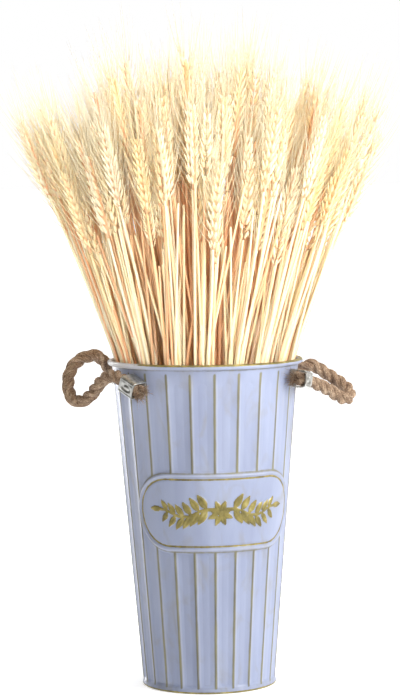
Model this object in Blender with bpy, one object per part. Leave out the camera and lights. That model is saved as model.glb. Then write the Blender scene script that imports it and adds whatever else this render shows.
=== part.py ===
"""Dried bearded wheat ears standing in a tall fluted flower bucket with two rope handles.

Metres, +Z up. The origin is the middle of the flat underside of the bucket, and the
embossed plaque faces -Y. Angles round the bucket run from the plaque towards +X.
"""
import math
import random

import bmesh
import bpy
from mathutils import Vector

# Bucket wall: a tapered pressed sheet with flutes between sharp arrises
HEIGHT = 0.310
FOOT_RADIUS = 0.0628
MOUTH_RADIUS = 0.0888
WALL = 0.0024
FLUTES = 24
STEPS_PER_FLUTE = 3
FLUTE_DEPTH = 0.0015
FLUTE_FOOT = 0.007
FLUTE_HEAD = 0.293
FLUTE_RUNOUT = 0.005
BEAD = 0.0040
BEAD_HEIGHT = 0.0056
RIM_LIP = 0.0010
FOOT_BEAD = 0.0008
FOOT_BEAD_HEIGHT = 0.0035

# Plaque: a stadium of raised sheet round the front, with a ridge along its edge
PLAQUE_HALF_ANGLE = math.radians(64.5)
PLAQUE_TURN = math.radians(3.7)
PLAQUE_LOW = 0.1345
PLAQUE_HIGH = 0.2087
PLAQUE_SUNK = 0.00195
PLAQUE_STEPS = ((0.0, -PLAQUE_SUNK), (0.0008, 0.0010), (0.0024, 0.0016), (0.0048, 0.0006))
PLAQUE_END_STEPS = 8
PLAQUE_SIDE_STEPS = 12

# Base: a pressed disc whose middle reaches down to the surface that the bucket stands on
BASE_STEPS = 32
BASE_SHEET = 0.0012
BASE_PANEL_RADIUS = 0.0535
BASE_RADIUS = 0.0599
BASE_LIFT = 0.0020
BASE_FLANGE = 0.0090

# Rope handles and the straps that hold them
GAP = 0.0003
ROPE_RADIUS = 0.0063
ROPE_POINTS = 31
STRAP_WIDTH = 0.0180
STRAP_SHEET = 0.0012
STRAP_ROOM = 0.0008
STRAP_CORNER = 0.0024
STRAP_CORNER_STEPS = 3
ROPE_STANDOFF = 2 * GAP + STRAP_SHEET + STRAP_ROOM + ROPE_RADIUS

# Where each strap sits: degrees from the plaque, height, and the rope's rise towards the loop
STRAPS = {
    "left_front": (-50.5, 0.2900, 25.0),
    "left_back": (-124.0, 0.2915, 24.0),
    "right_front": (62.5, 0.2922, -10.0),
    "right_back": (118.0, 0.2925, 10.0),
}
# The free loop of each handle between its straps, as points on the rope's middle line
LEFT_LOOP = (
    (-0.0894, -0.0386, 0.2980),
    (-0.0973, -0.0258, 0.2943),
    (-0.1031, -0.0172, 0.2870),
    (-0.1080, -0.0097, 0.2794),
    (-0.1143, -0.0021, 0.2732),
    (-0.1215, 0.0057, 0.2708),
    (-0.1277, 0.0123, 0.2756),
    (-0.1294, 0.0185, 0.2846),
    (-0.1283, 0.0234, 0.2938),
    (-0.1242, 0.0280, 0.3024),
    (-0.1167, 0.0323, 0.3087),
    (-0.1066, 0.0364, 0.3115),
    (-0.0981, 0.0396, 0.3097),
)
RIGHT_LOOP = (
    (0.0978, -0.0275, 0.2867),
    (0.1056, -0.0222, 0.2838),
    (0.1139, -0.0170, 0.2794),
    (0.1223, -0.0118, 0.2740),
    (0.1302, -0.0065, 0.2695),
    (0.1370, -0.0001, 0.2693),
    (0.1386, 0.0067, 0.2749),
    (0.1344, 0.0142, 0.2802),
    (0.1281, 0.0198, 0.2851),
    (0.1205, 0.0246, 0.2902),
    (0.1124, 0.0284, 0.2954),
    (0.1054, 0.0300, 0.2988),
)
ROPE_END_REACH = 0.0125
ROPE_STRAIGHT_REACH = 0.0120

# Straws: rings of small clumps, three straws to a clump, and each clump keeps to its own cell
SEED = 11
CLUMP_RINGS = (1, 6, 12, 18)
STRAWS_PER_CLUMP = 3
RING_STEP = 1 / 3
CLUMP_REACH = 0.09
BUTT_Z = 0.0015
BUTT_HEIGHT = 0.0030
BEND_Z = 0.300
FAN_TOP_Z = 0.600
SPREAD_BUTT = 0.0455
SPREAD_BEND = 0.0737
SPREAD_TOP = 0.1819
JITTER_BEND = 0.0008
JITTER_TOP = 0.0033
RING_TWIST = (0.0, 0.24, -0.15, 0.10)
CLUMP_SPIN = 0.55
STRAW_RADIUS_BUTT = 0.0026
STRAW_RADIUS_BEND = 0.0023
STRAW_RADIUS_NECK = 0.0015

# Ears: two ranks of spikelets that take turns up the ear, and long awns
EAR_LOW = (0.478, 0.458, 0.432, 0.408)
EAR_HIGH = (0.505, 0.512, 0.502, 0.478)
EAR_LENGTH = (0.072, 0.088)
EAR_LEVELS = 8
EAR_HALF_WIDTH = 0.0063
EAR_WAIST = 0.76
EAR_HALF_DEPTH = 0.0046
EAR_TIP_RADIUS = 0.0015
AWNED_LEVELS = (3, 4, 5, 6)
AWN_LENGTH = (0.046, 0.060)
AWN_FOOT = 0.0007
AWN_SPREAD = 0.0096
AWN_TIP_SPREAD = 0.0035
AWN_SWAY = (0.2, 0.6)
AWN_REACH = (0.88, 1.0)


def clear_scene():
    for item in list(bpy.data.objects):
        bpy.data.objects.remove(item, do_unlink=True)


def make_material(name, colour, roughness, metallic=0.0):
    material = bpy.data.materials.new(name)
    material.use_nodes = True
    shader = material.node_tree.nodes["Principled BSDF"]
    shader.inputs["Base Color"].default_value = (*colour, 1.0)
    shader.inputs["Roughness"].default_value = roughness
    shader.inputs["Metallic"].default_value = metallic
    return material


def painted_sheet():
    return make_material("painted_sheet", (0.60, 0.66, 0.82), 0.45)


def base_sheet():
    return make_material("base_sheet", (0.52, 0.57, 0.70), 0.5)


def strap_steel():
    return make_material("strap_steel", (0.55, 0.56, 0.54), 0.35, 0.9)


def jute():
    return make_material("jute", (0.36, 0.25, 0.16), 0.95)


def dry_straw():
    return make_material("straw", (0.86, 0.70, 0.43), 0.75)


def make_object(name, points, faces, material):
    mesh = bpy.data.meshes.new(name)
    mesh.from_pydata([tuple(point) for point in points], [], faces)
    mesh.materials.append(material)
    item = bpy.data.objects.new(name, mesh)
    bpy.context.collection.objects.link(item)
    return item


def face_outwards(item):
    shape = bmesh.new()
    shape.from_mesh(item.data)
    bmesh.ops.recalc_face_normals(shape, faces=shape.faces)
    shape.to_mesh(item.data)
    shape.free()


def shade(item, degrees):
    item.data.shade_smooth()
    item.data.set_sharp_from_angle(angle=math.radians(degrees))


def wall_radius(z):
    return FOOT_RADIUS + (MOUTH_RADIUS - FOOT_RADIUS) * z / HEIGHT


def around(angle, radius, z):
    """The point at an angle from the plaque, towards +X."""
    return Vector((radius * math.sin(angle), -radius * math.cos(angle), z))


def mix(low, high, share):
    return low + (high - low) * share


def ring_of(radius, z, count, flute_depth=0.0):
    points = []
    for step in range(count):
        groove = 0.0 if step % STEPS_PER_FLUTE == 0 else flute_depth
        points.append(around(2 * math.pi * step / count, radius - groove, z))
    return points


def join_rings(rings, closed):
    """Quads between neighbouring rings of equal count, and back to the first where closed."""
    count = len(rings[0])
    faces = []
    for low in range(len(rings) if closed else len(rings) - 1):
        high = (low + 1) % len(rings)
        for step in range(count):
            after = (step + 1) % count
            faces.append((low * count + step, low * count + after,
                          high * count + after, high * count + step))
    return faces


def bucket_shell(material):
    count = FLUTES * STEPS_PER_FLUTE
    rings = [
        ring_of(FOOT_RADIUS - WALL, 0, count),
        ring_of(FOOT_RADIUS + FOOT_BEAD, 0, count),
        ring_of(FOOT_RADIUS + FOOT_BEAD, FOOT_BEAD_HEIGHT, count),
        ring_of(wall_radius(FLUTE_FOOT), FLUTE_FOOT, count),
    ]
    for z in (FLUTE_FOOT + FLUTE_RUNOUT, FLUTE_HEAD - FLUTE_RUNOUT):
        rings.append(ring_of(wall_radius(z), z, count, FLUTE_DEPTH))
    rings += [
        ring_of(wall_radius(FLUTE_HEAD), FLUTE_HEAD, count),
        ring_of(wall_radius(HEIGHT - BEAD_HEIGHT), HEIGHT - BEAD_HEIGHT, count),
        ring_of(MOUTH_RADIUS + BEAD, HEIGHT - BEAD_HEIGHT * 0.7, count),
        ring_of(MOUTH_RADIUS + BEAD, HEIGHT - BEAD_HEIGHT * 0.25, count),
        ring_of(MOUTH_RADIUS + BEAD * 0.3, HEIGHT, count),
        ring_of(MOUTH_RADIUS - RIM_LIP, HEIGHT, count),
        ring_of(wall_radius(HEIGHT - BEAD_HEIGHT) - WALL, HEIGHT - BEAD_HEIGHT, count),
    ]
    points = [point for ring in rings for point in ring]
    shell = make_object("bucket_shell", points, join_rings(rings, closed=True), material)
    face_outwards(shell)
    join_in(shell, plaque(material))
    shade(shell, 25)


def plaque_outline(inset):
    """The stadium at an inset from its edge, as pairs of angle and height."""
    middle = (PLAQUE_LOW + PLAQUE_HIGH) / 2
    end_radius = (PLAQUE_HIGH - PLAQUE_LOW) / 2 - inset
    wall = wall_radius(middle)
    straight = PLAQUE_HALF_ANGLE - (PLAQUE_HIGH - PLAQUE_LOW) / 2 / wall
    outline = []
    for side in (1, -1):
        for step in range(PLAQUE_END_STEPS + 1):
            turn = math.pi * (step / PLAQUE_END_STEPS - 0.5)
            outline.append((PLAQUE_TURN + side * (straight + end_radius * math.cos(turn) / wall),
                            middle + side * end_radius * math.sin(turn)))
        for step in range(1, PLAQUE_SIDE_STEPS):
            outline.append((PLAQUE_TURN + side * mix(straight, -straight, step / PLAQUE_SIDE_STEPS),
                            middle + side * end_radius))
    return outline


def plaque(material):
    rings = []
    for inset, height in PLAQUE_STEPS:
        rings.append([around(angle, wall_radius(z) + height, z) for angle, z in plaque_outline(inset)])
    count = len(rings[0])
    points = [point for ring in rings for point in ring]
    faces = join_rings(rings, closed=False)
    face_start = (len(rings) - 1) * count
    faces += [tuple(face_start + corner for corner in face) for face in field_faces(count)]
    faces += [tuple(reversed(face)) for face in field_faces(count)]
    item = make_object("plaque", points, faces, material)
    face_outwards(item)
    return item


def field_faces(count):
    """Upright strips across the stadium, from its lower edge to its upper edge."""
    faces = []
    low = PLAQUE_END_STEPS // 2
    for side in range(2):
        start = side * (count // 2)
        for step in range(low):
            quad = (start + low - step - 1, start + low - step, start + low + step, start + low + step + 1)
            faces.append(tuple(dict.fromkeys(quad)))
    upper = PLAQUE_END_STEPS
    for step in range(PLAQUE_SIDE_STEPS):
        faces.append(((-step) % count, (-step - 1) % count, upper + step + 1, upper + step))
    return faces


def join_in(target, addition):
    """Fuse the addition into the target and remove it."""
    union = target.modifiers.new("union", "BOOLEAN")
    union.operation = "UNION"
    union.solver = "EXACT"
    union.object = addition
    view = bpy.context.evaluated_depsgraph_get()
    fused = bpy.data.meshes.new_from_object(target.evaluated_get(view))
    target.modifiers.clear()
    target.data = fused
    bpy.data.objects.remove(addition, do_unlink=True)


def bucket_base(material):
    outline = (
        (BASE_PANEL_RADIUS, 0),
        (BASE_PANEL_RADIUS + BASE_LIFT, BASE_LIFT),
        (BASE_RADIUS, BASE_LIFT),
        (BASE_RADIUS, BASE_FLANGE),
        (BASE_RADIUS - BASE_SHEET, BASE_FLANGE),
        (BASE_RADIUS - BASE_SHEET, BASE_LIFT + BASE_SHEET),
        (BASE_PANEL_RADIUS + BASE_LIFT - BASE_SHEET / 2, BASE_LIFT + BASE_SHEET),
        (BASE_PANEL_RADIUS - BASE_SHEET / 2, BASE_SHEET),
    )
    rings = [ring_of(radius, z, BASE_STEPS) for radius, z in outline]
    points = [point for ring in rings for point in ring]
    faces = join_rings(rings, closed=False)
    last = (len(rings) - 1) * BASE_STEPS
    points += [Vector((0, 0, 0)), Vector((0, 0, BASE_SHEET))]
    for step in range(BASE_STEPS):
        after = (step + 1) % BASE_STEPS
        faces.append((len(points) - 2, after, step))
        faces.append((len(points) - 1, last + step, last + after))
    base = make_object("bucket_base", points, faces, material)
    face_outwards(base)
    shade(base, 25)


def strap_frame(name):
    """A strap's seat on the wall, the rope's direction there, the strap's and the wall's outward one."""
    degrees, z, rise = STRAPS[name]
    angle = math.radians(degrees)
    taper = math.atan2(MOUTH_RADIUS - FOOT_RADIUS, HEIGHT)
    outward = around(angle, 1, 0) * math.cos(taper) - Vector((0, 0, math.sin(taper)))
    to_back = Vector((math.cos(angle), math.sin(angle), 0)) * (1 if angle > 0 else -1)
    to_loop = to_back if name.endswith("front") else -to_back
    upward = outward.cross(to_loop)
    if upward.z < 0:
        upward = -upward
    lean = math.radians(rise)
    along = to_loop * math.cos(lean) + upward * math.sin(lean)
    across = upward * math.cos(lean) - to_loop * math.sin(lean)
    return around(angle, wall_radius(z), z), along, across, outward


def strap(name, material):
    """A bent strap with two rounded corners round the rope, closed by a flat foot on the wall."""
    seat, along, across, outward = strap_frame(name)
    loops = []
    for sheet in (0, STRAP_SHEET):
        reach = ROPE_RADIUS + STRAP_ROOM + sheet
        corner = STRAP_CORNER + sheet
        foot = 2 * GAP + STRAP_SHEET - sheet
        loop = [(reach, foot), (-reach, foot)]
        for side, start in ((-1, math.pi), (1, math.pi / 2)):
            for step in range(STRAP_CORNER_STEPS + 1):
                turn = start - math.pi / 2 * step / STRAP_CORNER_STEPS
                loop.append((side * (reach - corner) + corner * math.cos(turn),
                             ROPE_STANDOFF + reach - corner + corner * math.sin(turn)))
        loops.append(loop)
    rings = []
    for loop, side in ((loops[0], -1), (loops[1], -1), (loops[1], 1), (loops[0], 1)):
        shift = along * (side * STRAP_WIDTH / 2)
        rings.append([seat + shift + across * x + outward * y for x, y in loop])
    points = [point for ring in rings for point in ring]
    item = make_object("strap_" + name, points, join_rings(rings, closed=True), material)
    face_outwards(item)
    shade(item, 30)


def rope_route(side, loop):
    """The handle's middle line: out of the front strap, round the loop and into the back one."""
    route = []
    for place in ("front", "back"):
        seat, along, _, outward = strap_frame(side + "_" + place)
        middle = seat + outward * ROPE_STANDOFF
        ends = [middle - along * ROPE_END_REACH, middle, middle + along * ROPE_STRAIGHT_REACH]
        if place == "front":
            route += ends + [Vector(point) for point in loop]
        else:
            route += reversed(ends)
    return route


def smooth_line(route, count):
    """Evenly spaced points on a smooth curve through the route's points."""
    fine = []
    steps = 12
    for index in range(len(route) - 1):
        before = route[max(index - 1, 0)]
        start, end = route[index], route[index + 1]
        after = route[min(index + 2, len(route) - 1)]
        for step in range(steps):
            t = step / steps
            fine.append(0.5 * (2 * start + (end - before) * t
                               + (2 * before - 5 * start + 4 * end - after) * t ** 2
                               + (3 * start - before - 3 * end + after) * t ** 3))
    fine.append(route[-1])
    travelled = [0.0]
    for first, second in zip(fine, fine[1:]):
        travelled.append(travelled[-1] + (second - first).length)
    line = []
    spot = 0
    for step in range(count):
        goal = travelled[-1] * step / (count - 1)
        while spot < len(fine) - 2 and travelled[spot + 1] < goal:
            spot += 1
        share = (goal - travelled[spot]) / (travelled[spot + 1] - travelled[spot])
        line.append(fine[spot].lerp(fine[spot + 1], min(share, 1.0)))
    return line


def rope(side, loop, material):
    curve = bpy.data.curves.new("rope_" + side, "CURVE")
    curve.dimensions = "3D"
    curve.bevel_depth = ROPE_RADIUS
    curve.bevel_resolution = 2
    curve.use_fill_caps = True
    line = smooth_line(rope_route(side, loop), ROPE_POINTS)
    spline = curve.splines.new("POLY")
    spline.points.add(len(line) - 1)
    for point, place in zip(spline.points, line):
        point.co = (*place, 1.0)
    curve.materials.append(material)
    item = bpy.data.objects.new("rope_" + side, curve)
    bpy.context.collection.objects.link(item)


def spread_at(z):
    """How far out the middle of the outermost clumps stands at a height."""
    if z <= BEND_Z:
        return mix(SPREAD_BUTT, SPREAD_BEND, z / BEND_Z)
    return mix(SPREAD_BEND, SPREAD_TOP, (z - BEND_Z) / (FAN_TOP_Z - BEND_Z))


def straw_plan():
    """For each clump its straws, each with its stations at the butt, the bend and the fan's top."""
    draw = random.Random(SEED)
    clumps = []
    for ring, count in enumerate(CLUMP_RINGS):
        start = draw.uniform(0, 2 * math.pi)
        for place in range(count):
            turn = start + 2 * math.pi * place / count
            first = draw.uniform(0, 2 * math.pi)
            spin = draw.uniform(-CLUMP_SPIN, CLUMP_SPIN)
            order = draw.sample(range(STRAWS_PER_CLUMP), STRAWS_PER_CLUMP)
            straws = []
            for member in range(STRAWS_PER_CLUMP):
                angle = first + 2 * math.pi * member / STRAWS_PER_CLUMP
                stations = []
                for z, twist, jitter in ((BUTT_Z, 0, 0), (BEND_Z, 0.3, JITTER_BEND),
                                         (FAN_TOP_Z, 1, JITTER_TOP)):
                    ring_turn = turn + RING_TWIST[ring] * twist
                    own_turn = angle + spin * twist
                    x = ring * RING_STEP * math.cos(ring_turn) + CLUMP_REACH * math.cos(own_turn)
                    y = ring * RING_STEP * math.sin(ring_turn) + CLUMP_REACH * math.sin(own_turn)
                    slip = jitter * math.sqrt(draw.random())
                    slip_turn = draw.uniform(0, 2 * math.pi)
                    stations.append(Vector((x * spread_at(z) + slip * math.cos(slip_turn),
                                            y * spread_at(z) + slip * math.sin(slip_turn), z)))
                rank = (order[member] + draw.random()) / STRAWS_PER_CLUMP
                straws.append({
                    "angle": angle,
                    "stations": stations,
                    "neck": mix(EAR_LOW[ring], EAR_HIGH[ring], rank),
                    "length": draw.uniform(*EAR_LENGTH),
                    "face": draw.uniform(0, 2 * math.pi),
                    "awns": [(draw.uniform(*AWN_LENGTH), draw.uniform(*AWN_SWAY), draw.uniform(*AWN_REACH))
                             for _ in range(len(AWNED_LEVELS) + 2)],
                })
            clumps.append(straws)
    return clumps


def ear_girth(share):
    """The ear's width along its length: a quick swell, then a slow taper to the tip."""
    swell = min(1.0, 0.58 + 1.9 * share)
    return swell * (1 - 0.42 * max(0.0, share - 0.55) / 0.45)


def bridge(mesh, low, high):
    """Triangles between two closed rings of any counts, starting at the corners closest together."""
    points, faces = mesh
    middle_low = sum((points[index] for index in low), Vector()) / len(low)
    middle_high = sum((points[index] for index in high), Vector()) / len(high)
    outward = (points[low[0]] - middle_low).normalized()
    offset = max(range(len(high)), key=lambda k: (points[high[k]] - middle_high).normalized().dot(outward))
    high = high[offset:] + high[:offset]
    i = j = 0
    while i < len(low) or j < len(high):
        a, b = low[i % len(low)], high[j % len(high)]
        if (i + 1) * len(high) <= (j + 1) * len(low):
            faces.append((a, low[(i + 1) % len(low)], b))
            i += 1
        else:
            faces.append((a, high[(j + 1) % len(high)], b))
            j += 1


def add_points(mesh, places):
    points = mesh[0]
    start = len(points)
    points.extend(places)
    return list(range(start, len(points)))


def add_awn(mesh, base, tip):
    """A needle on a three-cornered base."""
    top = add_points(mesh, [tip])[0]
    for corner in range(3):
        mesh[1].append((base[corner], base[(corner + 1) % 3], top))


def ear_axes(straw):
    """The ear's foot, its direction, and its directions across the two ranks and through them."""
    bend, top = straw["stations"][1], straw["stations"][2]
    direction = (top - bend).normalized()
    neck = bend + (top - bend) * ((straw["neck"] - bend.z) / (top.z - bend.z))
    across = Vector((math.cos(straw["face"]), math.sin(straw["face"]), 0))
    across = (across - direction * across.dot(direction)).normalized()
    return neck, direction, across, direction.cross(across)


def add_ear(mesh, straw, stem_ring):
    """Two ranks of swellings that take turns, needles from their shoulders and from the tip."""
    neck, direction, across, through = ear_axes(straw)
    corners = (across, through, -across, -through)
    awns = iter(straw["awns"])
    last_ring = add_points(mesh, [neck + corner * STRAW_RADIUS_NECK for corner in corners])
    bridge(mesh, stem_ring, last_ring)
    last = [(corner, corner) for corner in last_ring]
    for level in range(1, EAR_LEVELS + 1):
        share = level / EAR_LEVELS
        middle = neck + direction * (straw["length"] * share)
        girth = ear_girth(share)
        rank = 0 if level % 2 else 2
        ring = []
        for index, corner in enumerate(corners):
            if level == EAR_LEVELS:
                reach = EAR_TIP_RADIUS
            elif index % 2:
                reach = EAR_HALF_DEPTH * girth
            else:
                reach = EAR_HALF_WIDTH * girth * (1 if index == rank else EAR_WAIST)
            place = middle + corner * reach
            if index == rank and level in AWNED_LEVELS:
                sideways = corners[(index + 1) % 4] * AWN_FOOT
                ring.append(tuple(add_points(mesh, [place - sideways, place + sideways])))
            else:
                ring.append(tuple(add_points(mesh, [place]) * 2))
        join_ear_rings(mesh, last, ring)
        if level - 1 in AWNED_LEVELS:
            below = 0 if (level - 1) % 2 else 2
            side = 1 if level - 1 < EAR_LEVELS / 2 + 1 else -1
            add_side_awn(mesh, last[below], ring[below][0], next(awns), straw, corners, (below, side))
        if level in AWNED_LEVELS:
            mesh[1].append((last[rank][0], ring[rank][1], ring[rank][0]))
        last = ring
    tip = [pair[0] for pair in last]
    for half, base in enumerate(((tip[0], tip[1], tip[2]), (tip[2], tip[3], tip[0]))):
        length, sway, _ = next(awns)
        lean = through * (AWN_TIP_SPREAD * (1 - 2 * half)) + across * (AWN_TIP_SPREAD * sway)
        add_awn(mesh, base, neck + direction * (straw["length"] + length) + lean)


def join_ear_rings(mesh, low, high):
    for index in range(4):
        after = (index + 1) % 4
        a, b = low[index][1], low[after][0]
        c, d = high[after][0], high[index][1]
        mesh[1].append((a, b, c))
        mesh[1].append((a, c, d))


def add_side_awn(mesh, foot, above, awn, straw, corners, bearing):
    """A needle in the gap between a split shoulder and the next ring's corner above it.

    The lower needles of a rank sway to one side and the upper ones to the other.
    """
    neck, direction, _, _ = ear_axes(straw)
    length, sway, reach = awn
    rank, side = bearing
    sway *= side
    points = mesh[0]
    left, right = foot
    middle = (points[left] + points[right]) / 2
    rise = (points[above] - middle).normalized() * (2 * AWN_FOOT)
    peak = add_points(mesh, [middle + rise])[0]
    mesh[1].append((right, above, peak))
    mesh[1].append((left, peak, above))
    height = (middle - neck).dot(direction) + length
    spread = corners[rank] * math.cos(sway) + corners[(rank + 1) % 4] * math.sin(sway)
    add_awn(mesh, (left, right, peak), neck + direction * height + spread * (AWN_SPREAD * reach))


def triangle_round(middle, angle, radius):
    turns = (angle, angle + 2 * math.pi / 3, angle - 2 * math.pi / 3)
    return [middle + Vector((math.cos(turn), math.sin(turn), 0)) * radius for turn in turns]


def clump(number, straws, material):
    """Three straws on one plate where their butts meet, and an ear on each."""
    mesh = ([], [])
    floor, lid = [], []
    for straw in straws:
        butt = straw["stations"][0]
        floor.append(add_points(mesh, triangle_round(butt, straw["angle"], STRAW_RADIUS_BUTT)))
        raised = butt + Vector((0, 0, BUTT_HEIGHT))
        lid.append(add_points(mesh, triangle_round(raised, straw["angle"], STRAW_RADIUS_BUTT)))
    for plate, up in ((floor, False), (lid, True)):
        web = []
        for member in range(STRAWS_PER_CLUMP):
            following = plate[(member + 1) % STRAWS_PER_CLUMP]
            web += [plate[member][1], following[2]]
        mesh[1].append(tuple(web if up else reversed(web)))
    for member in range(STRAWS_PER_CLUMP):
        following = (member + 1) % STRAWS_PER_CLUMP
        mesh[1].append(tuple(reversed(floor[member])))
        edge = [(member, 2), (member, 0), (member, 1), (following, 2)]
        for (own, corner), (other, next_corner) in zip(edge, edge[1:]):
            mesh[1].append((floor[own][corner], floor[other][next_corner],
                            lid[other][next_corner], lid[own][corner]))
    for straw, ring in zip(straws, lid):
        bend = add_points(mesh, triangle_round(straw["stations"][1], straw["angle"], STRAW_RADIUS_BEND))
        bridge(mesh, ring, bend)
        add_ear(mesh, straw, bend)
    item = make_object(f"wheat_{number:02d}", mesh[0], mesh[1], material)
    shade(item, 50)


def main():
    clear_scene()
    bucket_shell(painted_sheet())
    bucket_base(base_sheet())
    steel = strap_steel()
    for name in STRAPS:
        strap(name, steel)
    fibre = jute()
    rope("left", LEFT_LOOP, fibre)
    rope("right", RIGHT_LOOP, fibre)
    golden = dry_straw()
    for number, straws in enumerate(straw_plan(), start=1):
        clump(number, straws, golden)


main()
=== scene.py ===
"""The looks of the wheat sheaf in its fluted bucket: fine ears, twisted rope, pressed and rubbed paint."""
import math
import random

import bmesh
import bpy
import numpy as np
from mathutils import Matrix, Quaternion, Vector


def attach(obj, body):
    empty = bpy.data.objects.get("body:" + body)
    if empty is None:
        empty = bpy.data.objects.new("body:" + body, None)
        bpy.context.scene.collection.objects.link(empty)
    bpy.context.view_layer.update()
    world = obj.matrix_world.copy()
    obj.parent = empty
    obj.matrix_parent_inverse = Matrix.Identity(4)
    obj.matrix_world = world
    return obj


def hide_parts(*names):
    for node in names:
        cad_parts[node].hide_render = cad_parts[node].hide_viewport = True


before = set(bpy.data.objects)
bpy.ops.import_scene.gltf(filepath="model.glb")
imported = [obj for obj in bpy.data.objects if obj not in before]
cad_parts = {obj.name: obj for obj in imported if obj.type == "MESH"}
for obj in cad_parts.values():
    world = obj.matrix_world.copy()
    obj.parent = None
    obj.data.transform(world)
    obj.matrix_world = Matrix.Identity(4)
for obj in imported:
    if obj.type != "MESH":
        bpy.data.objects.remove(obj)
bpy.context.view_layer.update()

# Driving sizes of the part, in metres, as its solids have them
HEIGHT = 0.310
FOOT_RADIUS = 0.0628
MOUTH_RADIUS = 0.0888
FLUTES = 24
FLUTE_DEPTH = 0.0019
FLUTE_FOOT = 0.004
FLUTE_HEAD = 0.3025
PLAQUE_HALF_ANGLE = math.radians(64.5)
PLAQUE_TURN = math.radians(3.7)
PLAQUE_LOW = 0.1345
PLAQUE_HIGH = 0.2087
GAP = 0.0003
ROPE_RADIUS = 0.0063
STRAP_WIDTH = 0.0180
STRAP_SHEET = 0.0012
STRAP_ROOM = 0.0008
STRAP_CORNER = 0.0024
ROPE_STANDOFF = 2 * GAP + STRAP_SHEET + STRAP_ROOM + ROPE_RADIUS
ROPE_END_REACH = 0.0125
ROPE_STRAIGHT_REACH = 0.0120
STRAPS = {
    "left_front": (-50.5, 0.2900, 25.0),
    "left_back": (-124.0, 0.2915, 24.0),
    "right_front": (62.5, 0.2922, -10.0),
    "right_back": (118.0, 0.2925, 10.0),
}
LEFT_LOOP = (
    (-0.0894, -0.0386, 0.2980),
    (-0.0973, -0.0258, 0.2943),
    (-0.1031, -0.0172, 0.2870),
    (-0.1080, -0.0097, 0.2794),
    (-0.1143, -0.0021, 0.2732),
    (-0.1215, 0.0057, 0.2708),
    (-0.1277, 0.0123, 0.2756),
    (-0.1294, 0.0185, 0.2846),
    (-0.1283, 0.0234, 0.2938),
    (-0.1242, 0.0280, 0.3024),
    (-0.1167, 0.0323, 0.3087),
    (-0.1066, 0.0364, 0.3115),
    (-0.0981, 0.0396, 0.3097),
)
RIGHT_LOOP = (
    (0.0978, -0.0275, 0.2867),
    (0.1056, -0.0222, 0.2838),
    (0.1139, -0.0170, 0.2794),
    (0.1223, -0.0118, 0.2740),
    (0.1302, -0.0065, 0.2695),
    (0.1370, -0.0001, 0.2693),
    (0.1386, 0.0067, 0.2749),
    (0.1344, 0.0142, 0.2802),
    (0.1281, 0.0198, 0.2851),
    (0.1205, 0.0246, 0.2902),
    (0.1124, 0.0284, 0.2954),
    (0.1054, 0.0300, 0.2988),
)

# The straws' layout, as in the solids
SEED = 11
CLUMP_RINGS = (1, 6, 12, 18)
STRAWS_PER_CLUMP = 3
RING_STEP = 1 / 3
CLUMP_REACH = 0.09
BUTT_Z = 0.0015
BEND_Z = 0.300
FAN_TOP_Z = 0.600
SPREAD_BUTT = 0.0455
SPREAD_BEND = 0.0737
SPREAD_TOP = 0.1819
JITTER_BEND = 0.0008
JITTER_TOP = 0.0033
RING_TWIST = (0.0, 0.24, -0.15, 0.10)
CLUMP_SPIN = 0.55
EAR_LOW = (0.478, 0.458, 0.432, 0.408)
EAR_HIGH = (0.505, 0.512, 0.502, 0.478)
EAR_LENGTH = (0.072, 0.088)
# The solids' awns take these draws of each straw; the scene only passes over them
AWN_DRAWS = 18


def mix(low, high, share):
    return low + (high - low) * share


def smooth(low, high, value):
    """Zero below low, one above high, and a smooth step between; arrays too."""
    share = np.clip((value - low) / (high - low), 0.0, 1.0)
    return share * share * (3 - 2 * share)


def wall_radius(z):
    return FOOT_RADIUS + (MOUTH_RADIUS - FOOT_RADIUS) * z / HEIGHT


def around(angle, radius, z):
    return Vector((radius * math.sin(angle), -radius * math.cos(angle), z))


def bell(value, width):
    """One at zero, falling away on both sides."""
    return np.exp(-(value / width) ** 2)


def unit(vector):
    return vector / np.linalg.norm(vector)


def swing(first, second, turn):
    """The direction at an angle from first towards second."""
    return first * math.cos(turn) + second * math.sin(turn)


# Materials

BLACK = (0, 0, 0)
WHITE = (1, 1, 1)
PAINT_DEEP = (0.237, 0.278, 0.423)
PAINT_FRESH = (0.317, 0.370, 0.540)
PAINT_STREAK = (0.46, 0.50, 0.64)
PAINT_AGED = (0.28, 0.255, 0.165)
PAINT_STAIN = (0.22, 0.21, 0.15)
# Colour of the paint's painted highlights
PAINT_HIGHLIGHT = (0.82, 0.83, 0.86)
GOLD = ((0.35, (0.17, 0.145, 0.055)), (0.60, (0.32, 0.27, 0.085)), (0.75, (0.46, 0.40, 0.17)))
OLIVE = ((0.35, (0.135, 0.128, 0.075)), (0.65, (0.225, 0.212, 0.105)))
BASE_PAINT = ((0.35, (0.42, 0.46, 0.62)), (0.62, (0.56, 0.60, 0.78)), (0.72, (0.50, 0.44, 0.26)))
STEEL = ((0.30, (0.30, 0.31, 0.30)), (0.70, (0.66, 0.67, 0.66)))
JUTE = ((0.34, (0.050, 0.028, 0.018)), (0.56, (0.165, 0.102, 0.066)),
        (0.76, (0.38, 0.265, 0.180)), (0.95, (0.66, 0.530, 0.400)))
STRAW = ((0.20, (0.78, 0.420, 0.150)), (0.42, (0.95, 0.720, 0.380)),
         (0.66, (0.98, 0.865, 0.580)), (0.92, (0.99, 0.940, 0.760)))
# Colour of the straws' painted shade
STRAW_PAINTED_SHADE = (0.90, 0.475, 0.255)


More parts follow.
